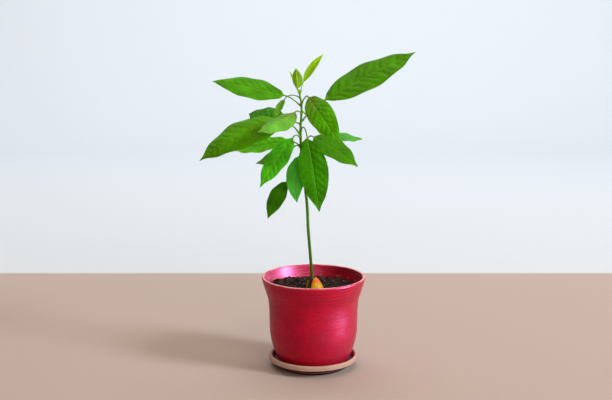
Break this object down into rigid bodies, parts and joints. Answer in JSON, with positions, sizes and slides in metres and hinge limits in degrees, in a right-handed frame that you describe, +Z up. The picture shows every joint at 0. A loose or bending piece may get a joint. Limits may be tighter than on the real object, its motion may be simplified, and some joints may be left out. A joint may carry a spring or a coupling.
{
  "type": "young avocado tree in a pot",
  "caption": "Slender avocado seedling with long drooping leaves on one stem, rising from its split stone in a glazed, flared pot on a saucer.",
  "frame": {"origin": "middle of the saucer's flat underside, on the pot's axis", "axes": "+Z up along the pot's axis, -Y towards the viewer of the picture, +X to the viewer's right"},
  "size_m": [0.3138, 0.1618, 0.4631],
  "materials": {
    "saucer_clay": "unglazed outside and rim, glazed inside",
    "pot_glaze": "satin crimson glaze, thin and pink at the lip",
    "soil": "dry crumbs",
    "seed": "smooth, slightly glossy",
    "stem_bark": "green bark, browner at the foot",
    "leaf": "satin, veined",
    "young_leaf": "satin, pale and tender"
  },
  "bodies": {
    "root": {"saucer": "saucer_clay", "pot": "pot_glaze", "soil": "soil", "seed_half_right": "seed", "seed_half_left": "seed", "stem": "stem_bark", "leaf_right_high": "leaf", "leaf_left_high": "leaf", "leaf_left_behind_small": "leaf", "leaf_left_behind": "leaf", "leaf_left_wide": "leaf", "leaf_front_left": "leaf", "leaf_left_middle": "leaf", "leaf_front_left_low": "leaf", "leaf_left_behind_low": "leaf", "leaf_left_lowest": "leaf", "leaf_front_low": "leaf", "leaf_front_hanging": "leaf", "leaf_right_middle": "leaf", "leaf_front_right": "leaf", "leaf_right_behind": "leaf", "young_leaf_right": "young_leaf", "young_leaf_middle": "young_leaf", "young_leaf_left": "young_leaf"}
  },
  "joints": []
}
